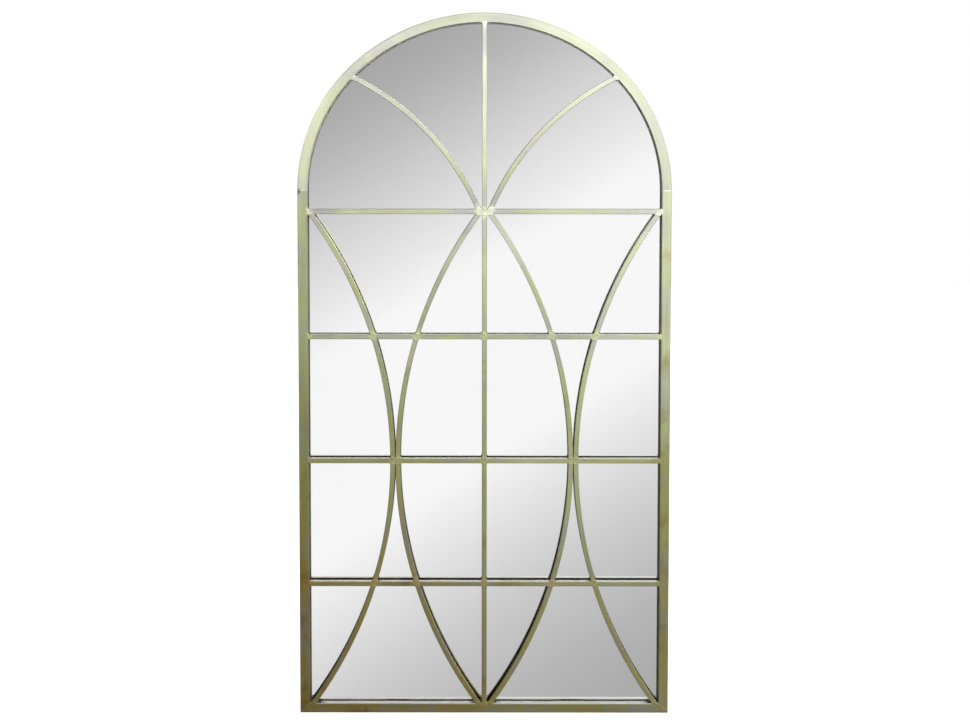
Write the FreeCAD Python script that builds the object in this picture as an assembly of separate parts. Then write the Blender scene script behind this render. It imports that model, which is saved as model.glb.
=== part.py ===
import FreeCAD, Part
import math
import os

# Arched wall mirror: a welded grille of square tube in front of one sheet of mirror glass.
# Millimetres. X runs to the right, Y runs back to the wall and Z runs up.
# Shapes are drawn with the front face at y = 0 and the underside at z = 0.
# Each one is then moved so that the origin is the hanging point, on the wall.

# Overall size
overall_width = 965.0
overall_height = 1829.0

# Frame: square tube, bent over the top and mitred at the two bottom corners. The bend is a
# little flatter than a half circle: two shoulders, and between them a crown of larger radius.
frame_face = 25.4
frame_depth = 25.4
frame_wall = 1.5
frame_corner = 1.7
arch_rise = 457.5
shoulder_turn_deg = 48.0

# Grille: smaller square tube, flush with the front of the frame. Welds close both ends
# of every piece, so its inside never shows and it is drawn solid.
bar_face = 12.7
bar_depth = 12.7
bar_corner = 1.2
row_count = 4
top_bar_drop = 53.0

# Long curved bars, which bow together in pairs in the middle of each column
curve_pair_gap = 0.8
curve_corner_inset = 9.0

# Top curved bars, from the foot beside the centre bar to where they meet the arch
top_curve_foot = 15.8
top_curve_radius = 673.0
top_curve_landing_deg = 44.5

# Pads that keep the glass off the back of the grille
pad_thickness = 3.7
pad_side = 10.0
pad_end_inset = 8.0

# Glass, and the board behind it, whose back comes out flush with the back of the frame
glass_thickness = 5.0
board_thickness = 4.0
edge_clearance = 1.0
block_length = 60.0
block_width_share = 0.5

# Clips that hold the board, each with one screw into the frame's back wall. They are flat,
# and take a step where the board's back and the frame's back are set to different depths.
clip_width = 14.0
clip_thickness = 1.5
clip_tail = 7.0
clip_reach = 12.0
clip_stile_shares = (0.2, 0.75)
clip_rail_shares = (-0.5, 0.5)
clip_arch_degs = (30.0, 90.0, 150.0)

# Hexagon-head screws. There are many, so shanks and holes are drawn with a few flats.
screw_head_radius = 3.4
screw_head_height = 2.0
screw_head_sides = 6
screw_shank_radius = 1.75
screw_length = 9.0
thread_clearance = 0.1
plate_hole_clearance = 0.3
hole_sides = 8

# Hangers: a strap on each stile, with a swinging ring in the knuckle at its top
hanger_drop = 105.0
strap_width = 13.0
strap_thickness = 1.2
strap_length = 45.0
strap_first_hole = 25.0
strap_hole_pitch = 12.0
strap_corner = 3.0
ring_wire_radius = 1.5
ring_wire_sides = 8
ring_half_width = 9.8
ring_bend = 2.5
ring_side_leg = 4.5
ring_clearance = 0.1
ring_rest_gap = 0.3

# Square rubber bumpers that stand the back off the wall
bumper_side = 12.0
bumper_thickness = 7.0
bumper_height = 60.0
bumper_arch_degs = (40.0, 140.0)

# Cuts run this far past what they cut
cut_overrun = 5.0

# Worked out from the sizes above
half_turn = 180.0
quarter_turn = 90.0
back = FreeCAD.Vector(0, 1, 0)
front = FreeCAD.Vector(0, -1, 0)
half_width = overall_width / 2
springing = overall_height - arch_rise
shoulder_slope = math.tan(math.radians(shoulder_turn_deg))
shoulder_offset = (half_width - arch_rise) / (shoulder_slope + 1 - math.sqrt(1 + shoulder_slope ** 2))
shoulder_radius = half_width - shoulder_offset
crown_drop = shoulder_offset * shoulder_slope
crown_radius = arch_rise + crown_drop
opening_half = half_width - frame_face
stile_middle = half_width - frame_face / 2
top_bar_middle = springing - top_bar_drop
pane_height = (top_bar_middle - bar_face / 2 - frame_face - (row_count - 1) * bar_face) / row_count
glass_front = bar_depth + pad_thickness
board_front = glass_front + glass_thickness
board_back = board_front + board_thickness
column_half = (opening_half - bar_face / 2) / 2
column_middle = bar_face / 2 + column_half
hanger_height = springing - hanger_drop
ring_axis_depth = frame_depth + strap_thickness + ring_rest_gap + ring_wire_radius
hanging_point = FreeCAD.Vector(0, frame_depth + bumper_thickness, hanger_height)


def bar_middle(number):
    """Height of a cross bar's centre line, where bar 1 is the top one."""
    return top_bar_middle - (number - 1) * (pane_height + bar_face)


def row_limits(number):
    """Lowest and highest z of the clear space under cross bar `number`."""
    high = bar_middle(number) - bar_face / 2
    return high - pane_height, high


def save(name, shape):
    """Move a finished shape to the hanging point and write it to its own file."""
    placed = shape.copy()
    placed.translate(-hanging_point)
    if not placed.isValid() or placed.Volume <= 0:
        raise ValueError(name + " is not a sound solid")
    placed.exportStep("parts/" + name + ".step")
    print(name, len(placed.Solids), "solid", round(placed.Volume), "cubic mm")


# Shapes that several pieces share


def box(x_range, y_range, z_range):
    """Block between two values on each axis."""
    lows = [min(pair) for pair in (x_range, y_range, z_range)]
    sizes = [abs(pair[1] - pair[0]) for pair in (x_range, y_range, z_range)]
    return Part.makeBox(sizes[0], sizes[1], sizes[2], FreeCAD.Vector(*lows))


def flat_section(points):
    """Face in the XY plane inside a ring of (x, y) points."""
    return Part.Face(Part.makePolygon([FreeCAD.Vector(x, y, 0) for x, y in points + points[:1]]))


def bar_section():
    """Cross-section of the grille's bars, with their two front edges eased."""
    half = bar_face / 2
    return flat_section([
        (-half + bar_corner, 0), (half - bar_corner, 0), (half, bar_corner),
        (half, bar_depth), (-half, bar_depth), (-half, bar_corner),
    ])


def tube_section():
    """Cross-section of the frame's tube, whose small rolled corners are drawn as flat bevels."""
    half = frame_face / 2
    short = half - frame_corner
    deep = frame_depth - frame_corner
    outside = flat_section([
        (-short, 0), (short, 0), (half, frame_corner), (half, deep),
        (short, frame_depth), (-short, frame_depth), (-half, deep), (-half, frame_corner),
    ])
    inner = half - frame_wall
    far = frame_depth - frame_wall
    inside = flat_section([(-inner, frame_wall), (inner, frame_wall), (inner, far), (-inner, far)])
    return outside.cut(inside).Faces[0]


def ring_points(radius, sides):
    """Corners of a regular outline about the origin, with a flat side facing each axis."""
    step = 2 * math.pi / sides
    return [
        (radius * math.cos((turn + 1 / 2) * step), radius * math.sin((turn + 1 / 2) * step))
        for turn in range(sides)
    ]


def upright(section, x, low, high):
    """A straight length of a section, standing on a given x between two heights."""
    piece = section.extrude(FreeCAD.Vector(0, 0, high - low))
    piece.translate(FreeCAD.Vector(x, 0, low))
    return piece


def level(section, left, right, z):
    """A straight length of a section, lying along X at a given height."""
    piece = section.extrude(FreeCAD.Vector(0, 0, right - left))
    piece.rotate(FreeCAD.Vector(0, 0, 0), back, quarter_turn)
    piece.translate(FreeCAD.Vector(left, 0, z))
    return piece


def bent(section, radius, start_deg, sweep_deg, x, z):
    """A section bent round a centre, from a start angle and counted from +X towards +Z."""
    origin = FreeCAD.Vector(0, 0, 0)
    start = section.copy()
    start.translate(FreeCAD.Vector(radius, 0, 0))
    start.rotate(origin, front, start_deg)
    piece = start.revolve(origin, front, sweep_deg)
    piece.translate(FreeCAD.Vector(x, 0, z))
    return piece


def prism(points, near, far):
    """A flat outline of (x, z) points, given thickness from near to far."""
    outline = Part.makePolygon([FreeCAD.Vector(x, near, z) for x, z in points + points[:1]])
    return Part.Face(outline).extrude(FreeCAD.Vector(0, far - near, 0))


def arch_bends():
    """The arch's bends from right to left: start angle, turn, centre x and z, outer radius."""
    crown_turn = half_turn - 2 * shoulder_turn_deg
    left_start = half_turn - shoulder_turn_deg
    return [
        (0, shoulder_turn_deg, shoulder_offset, springing, shoulder_radius),
        (shoulder_turn_deg, crown_turn, 0, springing - crown_drop, crown_radius),
        (left_start, shoulder_turn_deg, -shoulder_offset, springing, shoulder_radius),
    ]


def arch_point(inset, degrees):
    """The (x, z) where the arch's outline, drawn in by an inset, faces an angle from +X."""
    for start, turn, x, z, radius in arch_bends():
        if degrees <= start + turn:
            break
    angle = math.radians(degrees)
    return (x + (radius - inset) * math.cos(angle), z + (radius - inset) * math.sin(angle))


def hole(radius, near, far, x, z):
    """What a screw hole takes out of a wall that lies between near and far."""
    cutter = prism(ring_points(radius, hole_sides), near - cut_overrun, far + cut_overrun)
    cutter.translate(FreeCAD.Vector(x, 0, z))
    return cutter


def arched_sheet(inset, near, far):
    """The mirror's whole outline drawn in by an inset, given thickness."""
    half = half_width - inset
    low_left = FreeCAD.Vector(-half, near, inset)
    low_right = FreeCAD.Vector(half, near, inset)
    high_right = FreeCAD.Vector(half, near, springing)
    high_left = FreeCAD.Vector(-half, near, springing)
    edges = [
        Part.LineSegment(high_left, low_left).toShape(),
        Part.LineSegment(low_left, low_right).toShape(),
        Part.LineSegment(low_right, high_right).toShape(),
    ]
    for start, turn, *rest in arch_bends():
        places = [arch_point(inset, start + turn * share) for share in (0, 1 / 2, 1)]
        edges.append(Part.Arc(*[FreeCAD.Vector(x, near, z) for x, z in places]).toShape())
    return Part.Face(Part.Wire(edges)).extrude(FreeCAD.Vector(0, far - near, 0))


def as_group(solids):
    """Separate solids kept together as one part."""
    return Part.makeCompound(solids)


# Places of the screws in the frame's back wall


def clip_places():
    """Screw point of each clip, with the angle from +X in which the clip points inwards."""
    places = []
    for share in clip_stile_shares:
        z = frame_face + share * (springing - frame_face)
        places.append((-stile_middle, z, 0))
        places.append((stile_middle, z, half_turn))
    for share in clip_rail_shares:
        places.append((share * opening_half, frame_face / 2, quarter_turn))
    for degrees in clip_arch_degs:
        x, z = arch_point(frame_face / 2, degrees)
        places.append((x, z, degrees + half_turn))
    return places


def strap_screw_heights():
    """Heights of the two screws in each hanger strap."""
    first = hanger_height - strap_first_hole
    return (first, first - strap_hole_pitch)


def screw_points():
    """Every (x, z) at which a screw enters the back of the frame."""
    points = [(x, z) for x, z, turn in clip_places()]
    for side in (-1, 1):
        points += [(side * stile_middle, z) for z in strap_screw_heights()]
    return points


# Frame


def drilled(tube):
    """The tube with its screw holes through the back wall."""
    radius = screw_shank_radius + thread_clearance
    reach = tube.BoundBox
    for x, z in screw_points():
        if reach.XMin < x < reach.XMax and reach.ZMin < z < reach.ZMax:
            tube = tube.cut(hole(radius, frame_depth - frame_wall, frame_depth, x, z))
    return tube


def mitre(side, keep_stile):
    """The half of a bottom corner that the stile, or the rail, gives up."""
    outer = side * (half_width + cut_overrun)
    inner = side * (opening_half - cut_overrun)
    high = frame_face + cut_overrun
    shared = [(outer, -cut_overrun), (inner, high)]
    given_up = (inner, -cut_overrun) if keep_stile else (outer, high)
    return prism(shared + [given_up], -cut_overrun, frame_depth + cut_overrun)


def frame_stile(section, side):
    """Upright tube of the frame, mitred at its foot."""
    tube = upright(section, side * stile_middle, 0, springing)
    return drilled(tube.cut(mitre(side, True)))


def frame_bottom_rail(section):
    """Bottom tube of the frame, mitred at both ends."""
    tube = level(section, -half_width, half_width, frame_face / 2)
    return drilled(tube.cut(mitre(-1, False)).cut(mitre(1, False)))


def frame_arch(section):
    """Tube bent over the top, which stands on the two stiles."""
    bends = [bent(section, radius - frame_face / 2, start, turn, x, z)
             for start, turn, x, z, radius in arch_bends()]
    return drilled(bends[0].fuse(bends[1:]).removeSplitter())


# Grille


def centre_bar_top(section, opening):
    """Centre bar above the top cross bar, shaped to the inside of the arch."""
    foot = top_bar_middle + bar_face / 2
    return upright(section, 0, foot, overall_height).common(opening)


def long_curve_radius():
    """Radius whose arc bows to the column's middle and ends near its corners."""
    low = row_limits(row_count)[0]
    high = row_limits(1)[1]
    half_chord = (high - low) / 2
    bow = column_half - curve_corner_inset - (bar_face + curve_pair_gap) / 2
    return (half_chord ** 2 + bow ** 2) / (2 * bow)


def long_curve(section, column, bulge):
    """One whole curved bar. Column and bulge are -1 for the left and 1 for the right."""
    radius = long_curve_radius()
    low = row_limits(row_count)[0]
    high = row_limits(1)[1]
    reach = math.degrees(math.asin((high - low) / 2 / (radius - bar_face / 2)))
    nearest = (bar_face + curve_pair_gap) / 2
    centre_x = column * column_middle - bulge * (nearest + radius)
    middle_deg = 0 if bulge > 0 else half_turn
    return bent(section, radius, middle_deg - reach, 2 * reach, centre_x, (low + high) / 2)


def curve_pieces(section, column, bulge):
    """The curved bar cut where the cross bars run through it, from the top row down."""
    whole = long_curve(section, column, bulge)
    inner = column * bar_face / 2
    outer = column * opening_half
    depth = (-cut_overrun, bar_depth + cut_overrun)
    cells = [box((inner, outer), depth, row_limits(row)) for row in range(1, row_count + 1)]
    return [whole.common(cell).Solids[0] for cell in cells]


def top_curve(section, side, opening):
    """Curved bar from the middle of the top cross bar up to the arch."""
    head_x, head_z = arch_point(frame_face, top_curve_landing_deg)
    foot = FreeCAD.Vector(top_curve_foot, 0, top_bar_middle + bar_face / 2)
    head = FreeCAD.Vector(head_x, 0, head_z)
    chord = head - foot
    to_centre = math.sqrt(top_curve_radius ** 2 - (chord.Length / 2) ** 2)
    across = FreeCAD.Vector(chord.z, 0, -chord.x).normalize()
    centre = (foot + head) * (1 / 2) + across * to_centre
    start = math.degrees(math.atan2(head.z - centre.z, head.x - centre.x))
    end = math.degrees(math.atan2(foot.z - centre.z, foot.x - centre.x)) % (2 * half_turn)
    spare = math.degrees(bar_face / top_curve_radius)
    bar = bent(section, top_curve_radius, start - spare, end - start + 2 * spare, centre.x, centre.z)
    above = box((0, half_width), (-cut_overrun, bar_depth + cut_overrun), (foot.z, overall_height))
    piece = bar.common(above).common(opening)
    return piece if side > 0 else piece.mirror(FreeCAD.Vector(0, 0, 0), FreeCAD.Vector(1, 0, 0))


# Glass, board and what seats them


def glass_pads():
    """Square pads stuck behind the cross bars and the top of the centre bar."""
    last = opening_half - pad_end_inset
    places = []
    for number in range(1, row_count + 1):
        for x in (-last, -column_middle, 0, column_middle, last):
            places.append((x, bar_middle(number)))
    places.append((0, (top_bar_middle + overall_height) / 2))
    half = pad_side / 2
    depth = (bar_depth, glass_front)
    return as_group([box((x - half, x + half), depth, (z - half, z + half)) for x, z in places])


def setting_blocks():
    """Thin strips on the bottom rail that carry the glass and the board."""
    blocks = []
    depth = (glass_front, min(board_back, frame_depth))
    for side in (-1, 1):
        middle = side * block_width_share * opening_half
        span = (middle - block_length / 2, middle + block_length / 2)
        blocks.append(box(span, depth, (frame_face, frame_face + edge_clearance)))
    return as_group(blocks)


def retaining_clip(x, z, turn):
    """Plate from the frame's back wall to the edge of the board, drawn along +X and turned."""
    width = (-clip_width / 2, clip_width / 2)
    board_edge = frame_face / 2 + edge_clearance
    step_start = frame_face / 2 if board_back < frame_depth else board_edge - clip_thickness
    step = (step_start, step_start + clip_thickness)
    on_frame = (frame_depth, frame_depth + clip_thickness)
    on_board = (board_back, board_back + clip_thickness)
    plate = box((-clip_tail, step[1]), on_frame, width)
    plate = plate.fuse(box(step, (min(on_frame + on_board), max(on_frame + on_board)), width))
    plate = plate.fuse(box((step[0], board_edge + clip_reach), on_board, width)).removeSplitter()
    plate = plate.cut(hole(screw_shank_radius + plate_hole_clearance, on_frame[0], on_frame[1], 0, 0))
    plate.rotate(FreeCAD.Vector(0, 0, 0), front, turn)
    plate.translate(FreeCAD.Vector(x, 0, z))
    return plate


def screw(x, z, plate_thickness):
    """Screw through a plate of the given thickness, with its head on the plate."""
    seat = frame_depth + plate_thickness
    head = prism(ring_points(screw_head_radius, screw_head_sides), seat, seat + screw_head_height)
    shank = prism(ring_points(screw_shank_radius, hole_sides), seat - screw_length, seat)
    whole = head.fuse(shank)
    whole.translate(FreeCAD.Vector(x, 0, z))
    return whole


# Hangers


def hanger_strap(side):
    """Strap on the stile's back, rolled at the top into a knuckle for the ring."""
    half = strap_width / 2
    low = hanger_height - strap_length
    x = side * stile_middle
    outline = [
        (x - half, hanger_height), (x - half, low + strap_corner), (x - half + strap_corner, low),
        (x + half - strap_corner, low), (x + half, low + strap_corner), (x + half, hanger_height),
    ]
    strap = prism(outline, frame_depth, frame_depth + strap_thickness)
    bore = ring_wire_radius + ring_clearance
    start = FreeCAD.Vector(x - half, ring_axis_depth, hanger_height)
    along = FreeCAD.Vector(1, 0, 0)
    knuckle = Part.makeCylinder(bore + strap_thickness, strap_width, start, along)
    strap = strap.fuse(knuckle).cut(Part.makeCylinder(bore, strap_width, start, along))
    for z in strap_screw_heights():
        radius = screw_shank_radius + plate_hole_clearance
        strap = strap.cut(hole(radius, frame_depth, frame_depth + strap_thickness, x, z))
    return strap.removeSplitter()


def hanger_ring(side):
    """D-shaped wire ring, hanging down, whose straight leg lies in the knuckle."""
    wire = flat_section(ring_points(ring_wire_radius, ring_wire_sides))
    straight = ring_half_width - ring_bend
    foot = -(ring_bend + ring_side_leg)
    pieces = [
        level(wire, -straight, straight, 0),
        bent(wire, ring_bend, 0, quarter_turn, straight, -ring_bend),
        bent(wire, ring_bend, quarter_turn, quarter_turn, -straight, -ring_bend),
        upright(wire, ring_half_width, foot, -ring_bend),
        upright(wire, -ring_half_width, foot, -ring_bend),
        bent(wire, ring_half_width, half_turn, half_turn, 0, foot),
    ]
    ring = pieces[0].fuse(pieces[1:]).removeSplitter()
    ring.translate(FreeCAD.Vector(side * stile_middle, ring_axis_depth, hanger_height))
    return ring


def wall_bumpers():
    """Rubber squares on the back of the frame."""
    places = [(side * stile_middle, bumper_height) for side in (-1, 1)]
    places += [arch_point(frame_face / 2, degrees) for degrees in bumper_arch_degs]
    half = bumper_side / 2
    depth = (frame_depth, frame_depth + bumper_thickness)
    return as_group([box((x - half, x + half), depth, (z - half, z + half)) for x, z in places])


# Build every part


def build():
    os.makedirs("parts", exist_ok=True)
    tube = tube_section()
    bar = bar_section()
    opening = arched_sheet(frame_face, -cut_overrun, bar_depth + cut_overrun)
    sides = (("left", -1), ("right", 1))

    save("frame_arch", frame_arch(tube))
    save("frame_bottom_rail", frame_bottom_rail(tube))
    for name, side in sides:
        save("frame_stile_" + name, frame_stile(tube, side))

    save("centre_bar_top", centre_bar_top(bar, opening))
    for number in range(1, row_count + 1):
        across = level(bar, -opening_half, opening_half, bar_middle(number))
        save("cross_bar_" + str(number), across)
        low, high = row_limits(number)
        save("centre_bar_" + str(number), upright(bar, 0, low, high))

    for name, side in sides:
        for place, bulge in (("outer", -side), ("inner", side)):
            pieces = curve_pieces(bar, side, bulge)
            for number, piece in enumerate(pieces, start=1):
                save("curve_" + name + "_" + place + "_" + str(number), piece)
        save("curve_top_" + name, top_curve(bar, side, opening))

    inset = frame_face + edge_clearance
    save("mirror_glass", arched_sheet(inset, glass_front, board_front))
    save("backing_board", arched_sheet(inset, board_front, board_back))
    save("glass_pads", glass_pads())
    save("setting_blocks", setting_blocks())
    save("retaining_clips", as_group([retaining_clip(x, z, turn) for x, z, turn in clip_places()]))
    save("clip_screws", as_group([screw(x, z, clip_thickness) for x, z, turn in clip_places()]))

    strap_screws = []
    for name, side in sides:
        save("hanger_strap_" + name, hanger_strap(side))
        save("hanger_ring_" + name, hanger_ring(side))
        strap_screws += [screw(side * stile_middle, z, strap_thickness) for z in strap_screw_heights()]
    save("hanger_screws", as_group(strap_screws))
    save("wall_bumpers", wall_bumpers())


build()
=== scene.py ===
# %% [markdown]
# # An arched mirror behind a welded grille
# The object is a tall mirror. A frame of square tube goes round it, and a grille of smaller
# square tube lies in front of the glass. All of the metal has an antique brass finish.
# The solids come from a packed model, in metres, with the origin at the hanging point on the
# wall. This script keeps the solids that are right, gives them their finishes, and adds what
# only a close look shows: welds, the silvered sheet, round wire and proper screws.

# %% Load the packed model
import math

import bmesh
import bpy
from mathutils import Matrix, Vector, noise


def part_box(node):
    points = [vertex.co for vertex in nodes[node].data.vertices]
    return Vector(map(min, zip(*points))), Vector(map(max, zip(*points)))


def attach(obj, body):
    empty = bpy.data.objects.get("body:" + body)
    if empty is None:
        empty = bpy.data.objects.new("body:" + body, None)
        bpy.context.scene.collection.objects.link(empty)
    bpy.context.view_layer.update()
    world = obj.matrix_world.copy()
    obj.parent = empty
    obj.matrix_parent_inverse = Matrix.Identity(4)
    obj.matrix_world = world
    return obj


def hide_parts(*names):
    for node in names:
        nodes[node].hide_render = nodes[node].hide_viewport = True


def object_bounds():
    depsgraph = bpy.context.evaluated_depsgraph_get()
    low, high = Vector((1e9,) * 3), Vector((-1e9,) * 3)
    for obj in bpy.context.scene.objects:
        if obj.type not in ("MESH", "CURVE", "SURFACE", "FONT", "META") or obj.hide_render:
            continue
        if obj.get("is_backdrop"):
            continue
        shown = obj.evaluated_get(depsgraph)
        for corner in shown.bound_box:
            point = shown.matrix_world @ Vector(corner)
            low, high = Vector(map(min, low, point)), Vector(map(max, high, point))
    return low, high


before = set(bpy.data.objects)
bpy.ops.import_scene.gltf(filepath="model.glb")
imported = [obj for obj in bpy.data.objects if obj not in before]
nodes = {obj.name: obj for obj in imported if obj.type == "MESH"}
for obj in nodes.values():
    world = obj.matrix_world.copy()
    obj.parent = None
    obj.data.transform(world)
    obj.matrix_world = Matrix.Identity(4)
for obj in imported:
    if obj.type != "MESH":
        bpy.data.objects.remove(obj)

cad_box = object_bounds()
scene = bpy.context.scene


def rounded(values):
    return [round(value, 4) for value in values]


print("box of the solids", *map(rounded, cad_box))

# %% [markdown]
# ## Sizes that come from the solids
# Numbers typed twice drift apart. So the places of the front, the glass and the bars are read
# from the boxes of the solids once, and every new piece takes its place from these values.

# %% Read the main sizes
arch_low, arch_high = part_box("frame_arch")
glass_low, glass_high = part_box("mirror_glass")
stile_low, stile_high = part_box("frame_stile_right")
bar_low, bar_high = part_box("cross_bar_1")

front, frame_back = arch_low.y, arch_high.y
springing, foot = arch_low.z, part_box("frame_bottom_rail")[0].z
half_width = arch_high.x
tube = stile_high.x - stile_low.x
opening_half = half_width - tube
glass_front, glass_back = glass_low.y, glass_high.y
bar_face, bar_back = bar_high.z - bar_low.z, bar_high.y
print("tube, bar and half of the opening", rounded((tube, bar_face, opening_half)))
print("front and glass", rounded((front, glass_front, glass_back)))

# %% [markdown]
# ## The shape of the arch
# The arch is a little flatter than a half circle: two shoulders, and a crown of larger radius
# between them. Three points on a circle fix its centre, so the bends are read from the outline
# of the solid. Everything that follows the arch, its grain and its welds, uses these centres.

# %% Find the arch's bends
def circle_through(a, b, c):
    """Centre and radius of the circle through three (x, z) points."""
    corners = ((a, b, c), (b, c, a), (c, a, b))
    doubled = 2 * sum(p[0] * (q[1] - r[1]) for p, q, r in corners)
    x = sum((p[0] ** 2 + p[1] ** 2) * (q[1] - r[1]) for p, q, r in corners) / doubled
    z = sum((p[0] ** 2 + p[1] ** 2) * (r[0] - q[0]) for p, q, r in corners) / doubled
    return (x, z), math.dist((x, z), a)


arch_corners = [v.co for v in nodes["frame_arch"].data.vertices]
behind_bevel = sorted({round(p.y, 5) for p in arch_corners})[1]
side_edge = [(p.x, p.z) for p in arch_corners if abs(p.y - behind_bevel) < 2e-5]


def outer_point(degrees, reach=3.5):
    """A corner of the arch's outer side, near a direction from the middle of its foot."""
    near = [p for p in side_edge
            if abs(math.degrees(math.atan2(p[1] - springing, p[0])) - degrees) < reach]
    return max(near, key=lambda p: math.hypot(p[0], p[1] - springing))


crown_centre, crown_radius = circle_through(*map(outer_point, (65, 90, 115)))
shoulder_centre, shoulder_radius = circle_through(*map(outer_point, (0, 18, 36)))
bend_change = math.atan2(shoulder_centre[1] - crown_centre[1], shoulder_centre[0])


def above_arch(x, z):
    """How far a point lies outside the arch's inner line; negative is inside the opening."""
    x = abs(x)
    if math.atan2(z - shoulder_centre[1], x - shoulder_centre[0]) < bend_change:
        return math.dist((x, z), shoulder_centre) - (shoulder_radius - tube)
    return math.dist((x, z), crown_centre) - (crown_radius - tube)


print("crown", rounded((*crown_centre, crown_radius)))
print("shoulder", rounded((*shoulder_centre, shoulder_radius)))
print("the bend changes at", round(math.degrees(bend_change), 1), "degrees")

# %% [markdown]
# ## A few words for node trees
# Building nodes by hand takes many lines that look alike. One small class has a word for each
# sum, noise and mix that comes back often, so the cells that follow stay readable. Wherever it
# wants a value it takes a number, a colour or a socket to link.

# %% The words for node trees
class Tree:
    def __init__(self, data):
        self.data = data

    def feed(self, node, values):
        """Links each value that is a socket. A plain colour gets its alpha."""
        for place, value in values.items():
            socket = node.inputs[place]
            if isinstance(value, bpy.types.NodeSocket):
                self.data.links.new(value, socket)
            else:
                socket.default_value = (*value, 1) if socket.type == "RGBA" else value

    def node(self, kind, values=None, **settings):
        made = self.data.nodes.new("ShaderNode" + kind)
        for name, value in settings.items():
            setattr(made, name, value)
        self.feed(made, values or {})
        return made

    def group(self, group, values):
        """Places a node group, and gives its outputs."""
        return self.node("Group", values, node_tree=group).outputs

    def calculate(self, operation, *values, clamp=False):
        made = self.node("Math", dict(enumerate(values)), operation=operation, use_clamp=clamp)
        return made.outputs[0]

    def plus(self, first, second):
        return self.calculate("ADD", first, second)

    def minus(self, first, second):
        return self.calculate("SUBTRACT", first, second)

    def times(self, first, *others):
        for other in others:
            first = self.calculate("MULTIPLY", first, other)
        return first

    def level_length(self, x, z):
        """Length of a vector's part in the plane of the grille."""
        x_squared, z_squared = (self.calculate("POWER", value, 2.0) for value in (x, z))
        return self.calculate("SQRT", self.plus(x_squared, z_squared))

    def vector(self, operation, first, second):
        made = self.node("VectorMath", {0: first, 1: second}, operation=operation)
        return made.outputs["Value" if operation in ("DISTANCE", "DOT_PRODUCT") else "Vector"]

    def split(self, vector):
        return tuple(self.node("SeparateXYZ", {0: vector}).outputs)

    def join(self, x, y, z):
        return self.node("CombineXYZ", {0: x, 1: y, 2: z}).outputs[0]

    def clouds(self, place, scale, detail=2.0, roughness=0.5):
        return self.node("TexNoise", {"Vector": place, "Scale": scale, "Detail": detail,
                                      "Roughness": roughness}).outputs[0]

    def bump(self, height, strength, distance):
        return self.node("Bump", {"Height": height, "Strength": strength, "Distance": distance}).outputs[0]

    def mix(self, factor, first, second, blend="MIX"):
        """Mixes two colours."""
        made = self.node("Mix", {0: factor, 6: first, 7: second}, data_type="RGBA", blend_type=blend)
        return made.outputs[2]

    def ramp(self, factor, stops, interpolation="LINEAR"):
        """Colours at (place, colour) stops. A single number is a grey."""
        made = self.node("ValToRGB", {0: factor})
        made.color_ramp.interpolation = interpolation
        elements = made.color_ramp.elements
        while len(elements) < len(stops):
            elements.new(0.5)
        for element, (place, colour) in zip(elements, stops):
            element.position = place
            element.color = (*colour, 1) if isinstance(colour, tuple) else (colour, colour, colour, 1)
        return made.outputs[0]

    def fade(self, value, low, high):
        """0 at low and 1 at high, or the other way round where low is the larger."""
        ends = {"From Min": min(low, high), "From Max": max(low, high)}
        made = self.node("MapRange", {"Value": value, **ends}, interpolation_type="SMOOTHSTEP")
        return made.outputs[0] if low < high else self.minus(1.0, made.outputs[0])


print("words", [word for word in vars(Tree) if not word.startswith("_")])

# %% [markdown]
# A node group is a tree too, with named sockets at its ends. It is built once, and each material
# that places it gives it values of its own. One function starts a group and another ends it.

# %% Starting and ending a node group
def start_group(name, inputs, outputs):
    """Gives a new group's tree and the sockets that its nodes read."""
    group = bpy.data.node_groups.new(name, "ShaderNodeTree")
    for label, kind, *value in inputs:
        socket = group.interface.new_socket(name=label, in_out="INPUT", socket_type="NodeSocket" + kind)
        if value:
            socket.default_value = value[0]
    for label, kind in outputs:
        group.interface.new_socket(name=label, in_out="OUTPUT", socket_type="NodeSocket" + kind)
    return Tree(group), group.nodes.new("NodeGroupInput").outputs


def end_group(group, results):
    """Links what a group puts out, and gives the group itself."""
    group.feed(group.data.nodes.new("NodeGroupOutput"), results)
    print("group", group.data.name, len(group.data.nodes), "nodes")
    return group.data


print("ready to make groups")

# %% [markdown]
# ## Grain that follows a bent bar
# The bars were brushed along their length. A pattern stretched along one straight axis is right
# for a straight bar only. For a bent one, the coordinates are unrolled first: the angle round
# the bend's centre, times its radius, is the distance along the bar.

# %% The group that unrolls an arc
tree, given = start_group(
    "Unroll arc", [("Vector", "Vector"), ("Radius", "Float", 1.0)], [("Vector", "Vector")])
x, y, z = tree.split(given["Vector"])
along = tree.times(tree.calculate("ARCTAN2", z, x), given["Radius"])
unroll_arc = end_group(tree, {"Vector": tree.join(along, y, tree.level_length(x, z))})

# %% The group that moves each part of the arch to its own bend's centre
tree, given = start_group("Arch bend", [("Vector", "Vector")], [("Vector", "Vector")])
x, y, z = tree.split(given["Vector"])
side = tree.calculate("SIGN", x)
reach = tree.minus(tree.calculate("ABSOLUTE", x), shoulder_centre[0])
rise = tree.minus(z, shoulder_centre[1])
in_crown = tree.calculate("GREATER_THAN", tree.calculate("ARCTAN2", rise, reach), bend_change)
in_shoulder = tree.minus(1.0, in_crown)
x = tree.minus(x, tree.times(side, in_shoulder, shoulder_centre[0]))
z = tree.plus(rise, tree.times(in_crown, shoulder_centre[1] - crown_centre[1]))
# The crown's radius is larger, so its points are drawn in to keep one distance for the tube.
long_way = tree.level_length(x, z)
surplus = tree.times(in_crown, crown_radius - shoulder_radius)
scale = tree.calculate("DIVIDE", tree.minus(long_way, surplus), long_way)
arch_bend = end_group(tree, {"Vector": tree.join(tree.times(x, scale), y, tree.times(z, scale))})

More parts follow.
